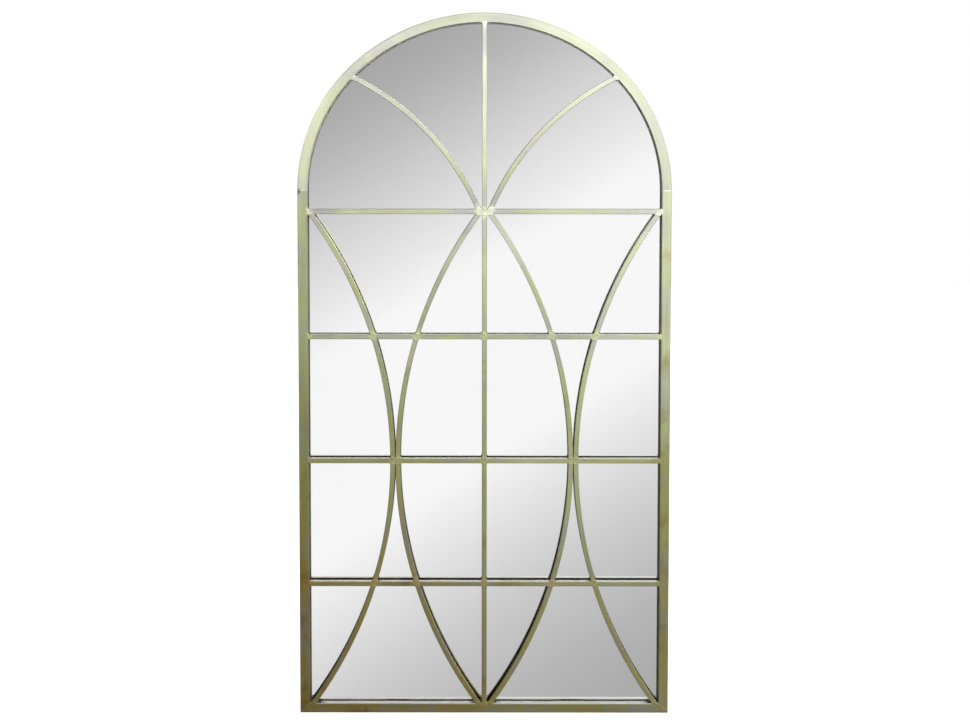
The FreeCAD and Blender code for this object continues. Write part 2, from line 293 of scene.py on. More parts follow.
# %% [markdown]
# ## Brushed grain
# Brushing leaves long fine scratches over broader, softer streaks. Both are noise stretched a
# long way along X, at two sizes. The group gives the streaks for colour and roughness, and a
# height for the bump.

# %% The group for brushed grain
tree, given = start_group(
    "Brushed grain", [("Vector", "Vector")], [("Streaks", "Float"), ("Height", "Float")])
broad, fine = (
    tree.clouds(tree.vector("MULTIPLY", given["Vector"], stretch), 1.0, roughness=0.6)
    for stretch in ((6.0, 200.0, 200.0), (22.0, 1400.0, 1400.0)))
brushed_grain = end_group(
    tree, {"Streaks": broad, "Height": tree.plus(tree.times(fine, 0.5), broad)})

# %% [markdown]
# ## Glaze, with painted falloff
# The finish is a pale champagne plating with a brown glaze wiped over it. The glaze stays in
# patches: grey-green where it is thin, warm brown where it has pooled. The group mixes these
# from noise at several sizes, over a slow change from the top of the arch to the foot that
# leans darker to the left near the foot. That change is partly glaze laid on more heavily
# towards the foot and partly painted shade, for the light that falls off towards the foot. It
# also puts out the colour of metal that was ground bare over a weld and glazed again by hand,
# which follows the same change from top to foot.

# %% The group for the glaze
tree, given = start_group(
    "Glaze and painted falloff", [("Vector", "Vector"), ("Top", "Float", 0.56), ("Foot", "Float", -1.27)],
    [("Color", "Color"), ("Ground", "Color"), ("Pooled", "Float")])
x, y, z = tree.split(given["Vector"])
drop = tree.node("MapRange", {"Value": z, "From Min": given["Top"], "From Max": given["Foot"]})
drop = drop.outputs[0]  # 0 at the top and 1 at the foot


def glaze_clouds(scale, detail, shift):
    """Noise over the object's own coordinates, moved so that no two look alike."""
    moved = tree.vector("ADD", given["Vector"], (shift, shift * 0.7, -shift))
    return tree.clouds(moved, scale, detail, roughness=0.62)


uneven_depth = tree.times(tree.minus(glaze_clouds(2.6, 3.0, 3.1), 0.5), 0.5)
# Near the foot the colour leans darker to the left and lighter to the right.
darker_to_lower_left = tree.times(x, -0.33, drop)
depth = tree.calculate("ADD", drop, tree.plus(uneven_depth, darker_to_lower_left), clamp=True)
# Pale at the top, brown at the foot: partly heavier glaze, partly painted shade for the light that falls off
# towards the foot.
glaze = tree.ramp(depth, [
    (0.0, (0.72, 0.75, 0.63)), (0.10, (0.84, 0.87, 0.69)), (0.22, (0.80, 0.84, 0.62)),
    (0.45, (0.57, 0.60, 0.32)), (0.70, (0.39, 0.38, 0.165)), (1.0, (0.32, 0.25, 0.085))])
greyer = tree.node("HueSaturation", {"Color": glaze, "Saturation": 0.55, "Value": 0.93}).outputs[0]
thin = tree.ramp(glaze_clouds(8.0, 4.0, 8.4), [(0.46, 0.0), (0.62, 1.0)])
colour = tree.mix(thin, glaze, greyer)
pooled = tree.ramp(glaze_clouds(11.0, 5.0, 21.7), [(0.55, 0.0), (0.74, 1.0)])
brown = tree.mix(0.75, colour, (0.62, 0.46, 0.24), blend="MULTIPLY")
amount = tree.times(pooled, tree.plus(drop, 0.25))
colour = tree.mix(tree.calculate("MINIMUM", amount, 0.8), colour, brown)
ground = tree.ramp(drop, [
    (0.0, (0.92, 0.94, 0.79)), (0.30, (0.90, 0.93, 0.74)), (0.46, (0.64, 0.69, 0.38)),
    (0.63, (0.46, 0.48, 0.26)), (0.80, (0.47, 0.38, 0.16)), (1.0, (0.35, 0.28, 0.10))])
glaze_and_painted_falloff = end_group(tree, {"Color": colour, "Ground": ground, "Pooled": pooled})

# %% [markdown]
# ## Worn edges
# Handling wears the glaze off the corners of the tube first, and the bare plating is brighter.
# The solids have narrow bevels there, whose normals point halfway between two faces. So an edge
# mask can be read from the normal: it is 1 where the normal leans about 45 degrees away from
# both the front and the plane of the grille.

# %% The group for worn edges
tree, given = start_group("Worn edge", [("Normal", "Vector")], [("Mask", "Float")])
x, y, z = tree.split(given["Normal"])
largest = tree.calculate("MAXIMUM", tree.calculate("ABSOLUTE", y), tree.level_length(x, z))
gain = 3.4  # brings the lean of a normal at 45 degrees up to about 1
mask = tree.calculate("MULTIPLY", tree.minus(1.0, largest), gain, clamp=True)
worn_edge = end_group(tree, {"Mask": mask})
print("mask on a bevel of 45 degrees", round(gain * (1 - math.sqrt(0.5)), 2))

# %% [markdown]
# ## Where the bars are welded
# Every bar that meets another is welded, and the welds show in two ways: as beads, and as stains
# in the finish round them. Both need the list of seams, which is read from the solids: each has
# a middle, the direction of the seam and half its length.

# %% Find every seam of the grille
ends_on_arch = ("centre_bar_top", "curve_top_left", "curve_top_right")
across, upwards = Vector((1, 0, 0)), Vector((0, 0, 1))
seams = []  # (middle x, middle z, direction along the seam, half length, side of the free bar)
for name in nodes:
    low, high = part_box(name)
    if name.startswith(("centre_bar", "curve_")):
        for height, side in [(low.z, 1)] if name in ends_on_arch else [(low.z, 1), (high.z, -1)]:
            xs = [v.co.x for v in nodes[name].data.vertices if abs(v.co.z - height) < 2e-5]
            left, right = min(xs), max(xs)
            seams.append(((left + right) / 2, height, across, (right - left) / 2, side))
    if name.startswith("cross_bar"):
        for x, side in ((low.x, 1), (high.x, -1)):
            seams.append((x, (low.z + high.z) / 2, upwards, bar_face / 2, side))
for name in ends_on_arch:
    touching = [v.co for v in nodes[name].data.vertices if above_arch(v.co.x, v.co.z) > -0.0002]
    first, last = min(touching, key=lambda p: p.x), max(touching, key=lambda p: p.x)
    middle = (first + last) / 2
    along = Vector((last.x - first.x, 0, last.z - first.z))
    seams.append((middle.x, middle.z, along.normalized(), along.length / 2, -1))
print("seams of the grille", len(seams))

# %% Join seams that lie close together into one weld spot
spot_size = 0.018  # seams that lie closer than this share one spot
weld_spots = []
for x, z, *rest in seams:
    spot = (abs(x), z)
    clean_on_stile = spot[0] > opening_half - 0.02 and z < -0.4
    clean_on_arch = spot[0] > 0.1 and z > 0.3
    shared = any(math.dist(spot, other) < spot_size for other in weld_spots)
    if not (clean_on_stile or clean_on_arch or shared):
        weld_spots.append(spot)
print("weld spots on one half", len(weld_spots))

# %% [markdown]
# ## Stains round the welds
# Welding heats the bars, and the finish over a weld never comes out quite the same. The ground
# weld itself is a pale patch near the top, and warmer towards the foot. Round it the bar is
# greyer for some centimetres. The mask is the distance to the nearest weld spot, with noise
# added so that no two stains are alike. The grille is symmetrical, so the distance is taken
# from the absolute value of x and half of the spots are enough. The arch has a dark weld at its
# left foot and some silvery places on its left side, and these are added one by one.

# %% The group for weld stains
tree, given = start_group(
    "Weld stain", [("Vector", "Vector")], [("Patch", "Float"), ("Tint", "Float"), ("Burn", "Float")])
x, y, z = tree.split(given["Vector"])
one_side = tree.calculate("ABSOLUTE", x)
folded = tree.join(one_side, 0.0, z)
unfolded = tree.join(x, 0.0, z)


def ragged(distance, scale, size):
    """A distance with noise of plus or minus size, which makes an outline uneven."""
    wander = tree.minus(tree.clouds(given["Vector"], scale), 0.5)
    return tree.plus(distance, tree.times(wander, 2 * size))


nearest = None
for spot_x, spot_z in weld_spots:
    away = tree.vector("DISTANCE", folded, (spot_x, 0.0, spot_z))
    nearest = tree.calculate("MINIMUM", nearest, away) if nearest else away

crown_line = crown_radius - tube
from_crown = tree.vector("DISTANCE", folded, (0.0, 0.0, crown_centre[1]))
under_arch = tree.times(tree.fade(from_crown, crown_line + 0.007, crown_line + 0.001),
                        tree.calculate("GREATER_THAN", z, springing))
between_stiles = tree.times(tree.fade(one_side, opening_half + 0.006, opening_half + 0.001),
                            tree.calculate("LESS_THAN", z, springing))
in_grille = tree.plus(under_arch, between_stiles)
patch = tree.times(tree.fade(ragged(nearest, 90.0, 0.011), 0.017, 0.005), in_grille)
tint = tree.times(tree.fade(ragged(nearest, 16.0, 0.060), 0.095, 0.030),
                  tree.minus(1.0, patch), in_grille, tree.fade(z, -0.65, 0.0))

# The weld between the arch and the left stile was left darker than the right one.
from_burn = tree.vector("DISTANCE", unfolded, (-half_width + 0.003, 0.0, springing))
burn = tree.fade(ragged(from_burn, 120.0, 0.008), 0.010, 0.003)
smudge = tree.times(tree.fade(ragged(from_burn, 30.0, 0.030), 0.050, 0.015), 0.8)

# Places on the arch's left half where the glaze is thin and the metal silvery
for thin_x, thin_z, thinness in ((-0.190, 0.516, 0.5), (-0.262, 0.478, 0.8), (-0.330, 0.425, 0.8),
                                 (-0.470, 0.155, 0.2)):
    away = tree.vector("DISTANCE", unfolded, (thin_x, 0.0, thin_z))
    silvery = tree.fade(ragged(away, 22.0, 0.030), 0.058, 0.020)
    smudge = tree.calculate("MAXIMUM", smudge, tree.times(silvery, thinness))
tint = tree.calculate("MAXIMUM", tint, smudge)
weld_stain = end_group(tree, {"Patch": patch, "Tint": tint, "Burn": burn})

# %% [markdown]
# ## Faces that lie sideways and faces that lie up
# Light and shade are painted here by the way a face is turned. The sides and backs of the bars
# and the inside of the frame are painted darker, as painted shade, and sides turned to the right
# less so, as painted light from the right. Faces that lie up in front of the glass are painted a
# pale grey, a painted light from above, but the last millimetres before the glass are painted
# dark, a painted shade in the gap. The painted shade is stronger towards the foot. The object's
# own normal tells these faces apart, and the place tells the outside of the frame from its inside.

# %% The group for side faces and top faces
tree, given = start_group(
    "Face turn", [("Vector", "Vector"), ("Normal", "Vector"), ("Back", "Float", bar_back)],
    [("Side", "Float"), ("Top", "Float"), ("Corner", "Float")])
normal_x, normal_y, normal_z = tree.split(given["Normal"])
place_x, place_y, place_z = tree.split(given["Vector"])
turned, fully = 0.75, 0.95  # the share of the normal that starts and completes a turn
from_springing = tree.vector("SUBTRACT", given["Vector"], (0.0, 0.0, springing))
outwards = tree.vector("DOT_PRODUCT", from_springing, given["Normal"])
inside = tree.calculate("LESS_THAN", outwards, opening_half - 0.003)
before_glass = tree.calculate("LESS_THAN", place_y, glass_front - 0.0003)
# The painted shade is stronger towards the foot.
shade_stronger_to_foot = tree.plus(tree.times(tree.fade(place_z, 0.15, -0.55), 0.60), 0.40)

# Painted light on faces that lie up in front of the glass.
top = tree.times(tree.fade(normal_z, turned, fully), before_glass)
# Painted shade on faces that lie sideways inside the frame; side faces turned to the right keep more of
# their light, as painted light from the right.
sideways = tree.fade(tree.level_length(normal_x, normal_z), turned, fully)
to_right = tree.times(tree.fade(normal_x, 0.2, 0.6), 0.45)
side = tree.times(sideways, tree.minus(1.0, top), inside, tree.minus(1.0, to_right))
# Painted shade on the backs of the bars and in the last millimetres before the glass.
behind_bar = tree.times(tree.fade(normal_y, turned, fully), before_glass)
short_of_back = tree.minus(given["Back"], place_y)
corner = tree.times(tree.fade(short_of_back, 0.0030, 0.0012), before_glass)
corner = tree.calculate("MAXIMUM", corner, behind_bar)
face_turn = end_group(tree, {"Side": tree.times(side, shade_stronger_to_foot), "Top": tree.times(top, inside),
                             "Corner": tree.times(corner, shade_stronger_to_foot)})

# %% [markdown]
# ## The antique brass
# One function makes the metal for every direction of bar: the grain differs, and so do the
# painted levels of light and shade. The shader is fully metallic. Its colour comes from the glaze,
# the welds and worn edges, and from painted light and shade; roughness and bump come from the
# grain, so a highlight breaks into soft streaks along the bar.

# %% The brass, for level, upright and bent bars
def start_material(name, values=None):
    """A material with a Principled shader that has these values."""
    material = bpy.data.materials.new(name)
    material.use_nodes = True
    tree = Tree(material.node_tree)
    tree.data.nodes.clear()
    shader = tree.node("BsdfPrincipled", values)
    tree.node("OutputMaterial", {"Surface": shader.outputs[0]})
    return material, tree, shader


# The scorch and the bare plating are the metal's own. The others are painted light and shade: a pale grey
# for the light on faces that lie up, and darker colours for the shade on side faces and by the glass.
scorched, bare_plating, painted_top_light = (0.08, 0.08, 0.07), (0.90, 0.89, 0.72), (0.34, 0.34, 0.36)
shade_of_sides, shade_of_corners = (0.40, 0.37, 0.34), (0.22, 0.22, 0.22)
# Where the arch's painted lighter left end gives way to its painted shade.
left_end = (-0.44, -0.37)  # where the arch's own shade comes in, along X


def antique_brass(name, upright=False, centre=None, radius=1.0, roughness=0.47, arch=False,
                  back=bar_back, glaze_foot=foot, shade=(1.0, 1.0, 1.0), left_shade=None):
    """Brushed brass with its grain along X, along Z, round a centre or along the arch. Painted shade
    darkens it just before the depth `back`, and the glaze with its painted falloff is darkest at the
    height `glaze_foot`. The last two values multiply the colour, painting a part lighter or darker
    for the light that falls on it; the second of them is for the arch's left end."""
    material, tree, shader = start_material("antique_brass_" + name, {"Metallic": 1.0})
    mix, times = tree.mix, tree.times
    where = tree.node("TexCoord").outputs
    place, normal = where["Object"], where["Normal"]
    placed = tree.node("Mapping", {"Vector": place}, vector_type="POINT")
    along_bar = placed.outputs[0]
    if upright:
        placed.inputs["Rotation"].default_value = (0.0, math.radians(90), 0.0)
    if centre:
        placed.inputs["Location"].default_value = (-centre[0], 0.0, -centre[1])
    if arch:
        along_bar = tree.group(arch_bend, {"Vector": along_bar})[0]
    if centre or arch:
        along_bar = tree.group(unroll_arc, {"Vector": along_bar, "Radius": radius})[0]
    grain = tree.group(brushed_grain, {"Vector": along_bar})
    glaze = tree.group(glaze_and_painted_falloff, {"Vector": place, "Top": cad_box[1].z, "Foot": glaze_foot})
    stain = tree.group(weld_stain, {"Vector": place})
    worn = tree.group(worn_edge, {"Normal": normal})
    turn = tree.group(face_turn, {"Vector": place, "Normal": normal, "Back": back})

    # Painted light and shade: this part's colour is multiplied by its own level, standing in for how the
    # light falls on it, with a lighter level at the arch's left end.
    if left_shade:
        shade = mix(tree.fade(tree.split(place)[0], *left_end), left_shade, shade)
    streaked = tree.ramp(grain["Streaks"], [(0.30, (0.86, 0.86, 0.83)), (0.70, 1.0)])
    streaked = mix(1.0, streaked, shade, blend="MULTIPLY")
    colour = mix(1.0, glaze["Color"], streaked, blend="MULTIPLY")
    heated = tree.node("HueSaturation", {"Color": colour, "Saturation": 0.25, "Value": 0.84}).outputs[0]
    colour = mix(times(stain["Tint"], 0.85), colour, heated)
    colour = mix(times(stain["Patch"], 0.62), colour, glaze["Ground"])
    colour = mix(times(stain["Burn"], 0.7), colour, scorched)
    colour = mix(times(worn["Mask"], 0.22), colour, mix(0.55, colour, bare_plating))
    # Painted shade on side faces and just before the glass, and painted light on faces that lie up.
    colour = mix(turn["Side"], colour, shade_of_sides, blend="MULTIPLY")
    colour = mix(times(turn["Top"], 0.75), colour, painted_top_light)
    colour = mix(turn["Corner"], colour, shade_of_corners, blend="MULTIPLY")
    rough = tree.plus(times(grain["Streaks"], 0.10), times(glaze["Pooled"], 0.10))
    rough = tree.minus(tree.plus(rough, roughness - 0.05), times(turn["Top"], 0.06))
    tree.feed(shader, {"Base Color": colour, "Roughness": rough,
                       "Normal": tree.bump(grain["Height"], 0.10, 0.0002)})
    return material


# Each finish stands with the start of the names of the solids that get it.
# The shade values in these calls are painted light and shade, standing in for how the light falls on each
# part.
finishes = [
    ("cross_bar", antique_brass("level")),
    ("centre_bar", antique_brass("upright", upright=True)),
    ("frame_arch", antique_brass("arch", radius=shoulder_radius - tube / 2, arch=True, back=glass_front,
                                 shade=(0.86, 0.86, 0.82), left_shade=(1.14, 1.14, 1.10))),
    ("frame_stile", antique_brass("stile", upright=True, back=glass_front, glaze_foot=foot + 0.16,
                                  shade=(0.93, 0.94, 0.90))),
    ("frame_bottom_rail", antique_brass("rail", back=glass_front, shade=(0.88, 0.91, 0.98)))]
print("made", [material.name for start, material in finishes])

# %% [markdown]
# ## Where the bent bars have their centres
# The grain of a bent bar needs the centre of its bend too. The corners on the outer side of the
# bend are the ones that stand furthest from the bar's chord. One is taken from each third of
# the bar, and the circle through the three gives the centre.

# %% Find the centre of each bend
def bend_of(names, bulge):
    """Centre and radius of the bend of some solids that lie on one circle. Bulge is the
    direction (x, z) in which the bend stands out."""
    points = [(v.co.x, v.co.z) for name in names for v in nodes[name].data.vertices]
    low, high = min(p[1] for p in points), max(p[1] for p in points)
    third = (high - low) / 3
    chosen = []
    for part in range(3):
        group = [p for p in points if low + part * third <= p[1] <= low + (part + 1) * third]
        chosen.append(max(group, key=lambda p: p[0] * bulge[0] + p[1] * bulge[1]))
    return circle_through(*chosen)


for side, sign in (("left", -1), ("right", 1)):
    for place, bulge in (("outer", (-sign, 0)), ("inner", (sign, 0)), ("top", (-sign * 0.75, 0.66))):
        start = "curve_top_" + side if place == "top" else "curve_%s_%s" % (side, place)
        centre, radius = bend_of([name for name in nodes if name.startswith(start)], bulge)
        # The top bends are painted darker: painted shade for the light on them.
        shade = (0.86, 0.86, 0.85) if place == "top" else (1.0, 1.0, 1.0)
        finish = start.replace("curve_", "")
        finishes.append((start, antique_brass(finish, centre=centre, radius=radius, shade=shade)))
        print(start, "centre", rounded(centre), "radius", round(radius, 4))

# %% [markdown]
# ## Put the brass on the solids
# Assigning to a solid's material slot changes only its look. Level bars get the level grain,
# uprights the upright one, and each bent bar its own.

# %% Give each bar its brass
def dress(listed):
    """Gives each solid the material that is listed with the start of its name."""
    for name, solid in nodes.items():
        for start, material in listed:
            if name.startswith(start):
                solid.data.materials.clear()
                solid.data.materials.append(material)


dress(finishes)
print("finishes on the bars", len(finishes))

# %% [markdown]
# ## The mirror: glass with a silvered back
# A mirror is a clear sheet with a thin layer of silver behind it, and its cut edges are ground
# matt. Each bar is therefore seen twice: once itself and once in the silver, set apart by the
# gap and the glass. One shiny sheet would put that image too close to the bar, so the glass and
# the silver are two pieces.

# %% Helpers for new pieces
def to_mesh(bm, name="shape"):
    mesh = bpy.data.meshes.new(name)
    bm.to_mesh(mesh)
    bm.free()
    return mesh


def new_object(name, data):
    made = bpy.data.objects.new(name, data)
    scene.collection.objects.link(made)
    return made


def round_edges(bm, edges, offset, segments):
    bmesh.ops.bevel(bm, geom=edges, offset=offset, offset_type="OFFSET", affect="EDGES",
                    segments=segments, profile=0.5, material=-1)


def finish_piece(bm, name, material, body, smooth_below=35.0):
    """Turns a bmesh into an object that rides on a body."""
    bmesh.ops.remove_doubles(bm, verts=bm.verts, dist=1e-6)
    bmesh.ops.recalc_face_normals(bm, faces=bm.faces)
    mesh = to_mesh(bm, name)
    mesh.shade_smooth()
    mesh.set_sharp_from_angle(angle=math.radians(smooth_below))
    mesh.materials.append(material)
    piece = new_object(name, mesh)
    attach(piece, body)
    print(name, len(mesh.polygons), "faces")
    return piece


def slice_of_glass(near, far, seamed):
    """A copy of the CAD sheet, cut off in front of near and behind far. The copy is merged first,
    because a CAD mesh is loose triangles, and its flat faces are joined."""
    bm = bmesh.new()
    bm.from_mesh(nodes["mirror_glass"].data)
    bmesh.ops.remove_doubles(bm, verts=bm.verts, dist=1e-6)
    bmesh.ops.dissolve_limit(bm, angle_limit=math.radians(0.5), verts=bm.verts, edges=bm.edges)
    for depth, side in ((near, -1), (far, 1)):
        everything = bm.verts[:] + bm.edges[:] + bm.faces[:]
        cut = bmesh.ops.bisect_plane(bm, geom=everything, plane_co=(0, depth, 0), plane_no=(0, side, 0),
                                     clear_outer=True, dist=1e-7)["geom_cut"]
        edges = [e for e in cut if isinstance(e, bmesh.types.BMEdge) and e.is_boundary]
        if edges:
            bmesh.ops.edgeloop_fill(bm, edges=edges)
    bmesh.ops.recalc_face_normals(bm, faces=bm.faces)
    if seamed:
        rim = [e for e in bm.edges if all(abs(v.co.y - near) < 1e-6 for v in e.verts)]
        round_edges(bm, rim, seamed, 2)
    return bm


print("helpers ready")

# %% Clear glass and silver
def clouded(name, scale, detail, stops, values):
    """A material whose colour wanders with one noise, with the noise as well."""
    material, tree, shader = start_material(name, values)
    clouds = tree.clouds(tree.node("TexCoord").outputs["Object"], scale, detail)
    tree.feed(shader, {"Base Color": tree.ramp(clouds, stops)})
    return material, tree, shader, clouds


glass = start_material("clear_glass", {"Base Color": (0.985, 0.987, 0.985), "Roughness": 0.0, "IOR": 1.52,
                                       "Transmission Weight": 1.0})[0]
ground_edge = clouded("ground_edge", 1500.0, 2.0, [(0.35, (0.20, 0.25, 0.23)), (0.65, (0.30, 0.36, 0.33))],
                      {"Roughness": 0.8})[0]
silver = clouded("silver_layer", 3.0, 2.0, [(0.3, (0.928, 0.929, 0.928)), (0.7, (0.943, 0.944, 0.943))],
                 {"Metallic": 1.0, "Roughness": 0.0})[0]

silver_depth, seam = 0.0002, 0.0005
overlap = 0.00005  # the silver grips the glass, so no two faces lie in one plane
glass_end = glass_back - silver_depth
pane = finish_piece(slice_of_glass(glass_front, glass_end, seam), "glass_pane", glass,
                    "mirror", smooth_below=12)
finish_piece(slice_of_glass(glass_end - overlap, glass_back, 0.0), "silver_layer", silver,
             "mirror", smooth_below=12)
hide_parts("mirror_glass")
pane.data.materials.append(ground_edge)
rim = [face for face in pane.data.polygons if abs(face.normal.y) < 0.99]
for face in rim:
    face.material_index = 1
print("ground faces", len(rim), "of", len(pane.data.polygons))

# %% [markdown]
# ## Rubber, zinc and hardboard
# The back has three plain materials, and each still needs its texture. Rubber is nearly black
# and matt, with a fine pebble. Zinc plating has soft crystals and a faint warm and cool tint.
# Hardboard is pressed fibre, brown, with short threads. Each comes from noise of its own scale.

# %% Three materials for the back
rubber, tree, shader, pebble = clouded(
    "black_rubber", 900.0, 3.0, [(0.35, (0.020, 0.020, 0.021)), (0.7, (0.045, 0.044, 0.042))],
    {"Roughness": 0.75})
tree.feed(shader, {"Normal": tree.bump(pebble, 0.4, 0.0003)})

tints = [(0.35, (0.60, 0.61, 0.60)), (0.55, (0.70, 0.69, 0.64)), (0.7, (0.62, 0.64, 0.68))]
zinc, tree, shader = clouded("zinc_plate", 60.0, 3.0, tints, {"Metallic": 1.0})[:3]
crystals = tree.node("TexVoronoi", {"Vector": tree.node("TexCoord").outputs["Object"], "Scale": 420.0,
                                    "Randomness": 1.0}, feature="F1")
rough = tree.plus(tree.times(crystals.outputs["Distance"], 60.0), 0.28)
tree.feed(shader, {"Roughness": tree.calculate("MINIMUM", rough, 0.5)})

hardboard, tree, shader = start_material("hardboard", {"Roughness": 0.62})
where = tree.node("TexCoord").outputs["Object"]
fibre = tree.times(*(tree.clouds(tree.vector("MULTIPLY", where, stretch), 1.0)
                     for stretch in ((260.0, 40.0, 1500.0), (1500.0, 40.0, 260.0))))
blend = tree.plus(tree.times(fibre, 1.6), tree.times(tree.clouds(where, 4.0, 4.0), 0.5))
board_colour = tree.ramp(blend, [
    (0.45, (0.135, 0.080, 0.042)), (0.62, (0.235, 0.148, 0.082)), (0.85, (0.33, 0.225, 0.135))])
tree.feed(shader, {"Base Color": board_colour, "Normal": tree.bump(fibre, 0.35, 0.0003)})

dress([("backing_board", hardboard), (("glass_pads", "setting_blocks", "wall_bumpers"), rubber),
       (("retaining", "clip_", "hanger"), zinc)])
print("made", rubber.name, zinc.name, hardboard.name)

# %% [markdown]
# ## Beads in the corners
# The maker leaves a small bead in the two corners beside each bar. A weld bead is a row of
# overlapping puddles. Each puddle here is a small flattened ball, made by create_uvsphere with
# its own matrix, so the row gets the ripple of a real bead. Four rows, each a little different,
# are made once, and copies of them go to the corners.

# %% Make the beads
dressed_brass = antique_brass("dressed", roughness=0.5)


def uneven(a, b, size):
    """The same random shift each time for the same place."""
    return size * noise.noise(Vector((a * 61.0, b * 67.0, 3.7)))


bead_radius, puddle_step = 0.0017, 0.0019
first_puddle = 0.0022  # behind the front of the bar
bead_rows = []
for kind in range(4):
    bm = bmesh.new()
    for step in range(int((bar_back - front) / puddle_step)):
        wobble = uneven(step + 0.3, kind + 0.7, 0.0006)
        place = Matrix.Translation((wobble, first_puddle + step * puddle_step, -wobble))
        size = bead_radius * (1 + uneven(kind + 0.2, step + 0.6, 0.5))
        shape = Matrix.Diagonal((size, size * 1.1, size, 1))
        bmesh.ops.create_uvsphere(bm, u_segments=8, v_segments=6, radius=1.0, matrix=place @ shape)
    bead_rows.append(to_mesh(bm))

bm = bmesh.new()
clear_of_bar = 0.0002
for number, (x, z, along, half, side) in enumerate(seams):
    out = Vector((-along.z, 0, along.x))
    if out.dot(upwards if abs(along.x) > 0.5 else across) * side < 0:
        out = -out
    for corner in (0, 1):
        beside = along * ((2 * corner - 1) * (half + clear_of_bar))
        base = Vector((x, front, z)) + beside + out * clear_of_bar
        row = bead_rows[(2 * number + corner) % 4].copy()
        row.transform(Matrix.Translation(base))
        bm.from_mesh(row)
        bpy.data.meshes.remove(row)
for row in bead_rows:
    bpy.data.meshes.remove(row)
finish_piece(bm, "weld_beads", dressed_brass, "mirror", smooth_below=80)

# %% [markdown]
# ## Dressed welds on the front
# A ground weld is a low cushion, longer along the seam than across it and a quarter of a
# millimetre proud. A sphere pressed flat gives it. Its outline is pushed towards a rectangle, as
# a weld is as wide at its ends, and each corner moves a little with noise.

# %% Make the dressed patches
toward_viewer, toward_wall = Vector((0, -1, 0)), Vector((0, 1, 0))
weld_height = 0.00025


def cushion(bm, middle, along, normal, length, width):
    """A low uneven cushion on a face, pressed from a sphere."""
    sideways = normal.cross(along).normalized()
    place = Matrix((along.normalized(), sideways, normal.normalized())).transposed().to_4x4()
    place.translation = middle
    shape = Matrix.Diagonal((length / 2, width / 2, weld_height, 1))
    one = bmesh.new()
    bmesh.ops.create_uvsphere(one, u_segments=20, v_segments=10, radius=1.0, matrix=place @ shape)
    for vert in one.verts:
        away = vert.co - middle
        spread = 1 + 0.24 * noise.noise(vert.co * 260.0)
        rise = 1 + 0.5 * noise.noise(vert.co * 520.0)
        up = away.dot(normal)
        flat = away - normal * up
        u, v = flat.dot(along) * 2 / length, flat.dot(sideways) * 2 / width
        if max(abs(u), abs(v)) > 1e-4:
            flat *= (math.hypot(u, v) / max(abs(u), abs(v))) ** 0.7
        vert.co = middle + flat * spread + normal * min(up * rise, weld_height)
    mesh = to_mesh(one)
    bm.from_mesh(mesh)
    bpy.data.meshes.remove(mesh)


bm = bmesh.new()
dressing_width, off_seam = 0.0062, 0.0012
for x, z, along, half, side in seams:
    middle = Vector((x, front, z)) + (upwards if abs(along.x) > 0.5 else across) * off_seam * side
    cushion(bm, middle, along, toward_viewer, 2 * half, dressing_width)
finish_piece(bm, "weld_dressing", dressed_brass, "mirror", smooth_below=60)

# %% [markdown]
# ## Welds of the frame
# The arch stands on the stiles with a butt weld right round the tube, and the bottom corners are
# mitred. These welds were ground as well, so each is a narrow low band over the seam.

# %% Make the frame's welds
bm = bmesh.new()
band = tube * 0.84  # the outline wanders, and has to stay on the tube's face
butt_width, mitre_width = 0.005, 0.004
mitre_stretch = 1.36  # a mitre runs across the corner, so it is longer than the tube is wide
middle_depth = (front + frame_back) / 2
for side in (-1, 1):
    x = side * (half_width - tube / 2)
    faces = ((x, front, toward_viewer, across), (x - tube / 2, middle_depth, -across, toward_wall),
             (x + tube / 2, middle_depth, across, toward_wall), (x, frame_back, toward_wall, across))
    for face_x, face_y, normal, along in faces:
        cushion(bm, Vector((face_x, face_y, springing)), along, normal, band, butt_width)
    slope = Vector((side, 0, -1)).normalized()
    for y, normal in ((front, toward_viewer), (frame_back, toward_wall)):
        cushion(bm, Vector((x, y, foot + tube / 2)), slope, normal, band * mitre_stretch, mitre_width)
finish_piece(bm, "frame_welds", dressed_brass, "mirror", smooth_below=60)

# %% [markdown]
# ## Round wire for the hanger rings
# The solids draw the ring's wire with a few flats. The real wire is round. A section is walked
# round the ring: extruded along the straight legs and spun round the bends, until it meets its
# own start. Each step is one line, so the ring's shape can be read off them.

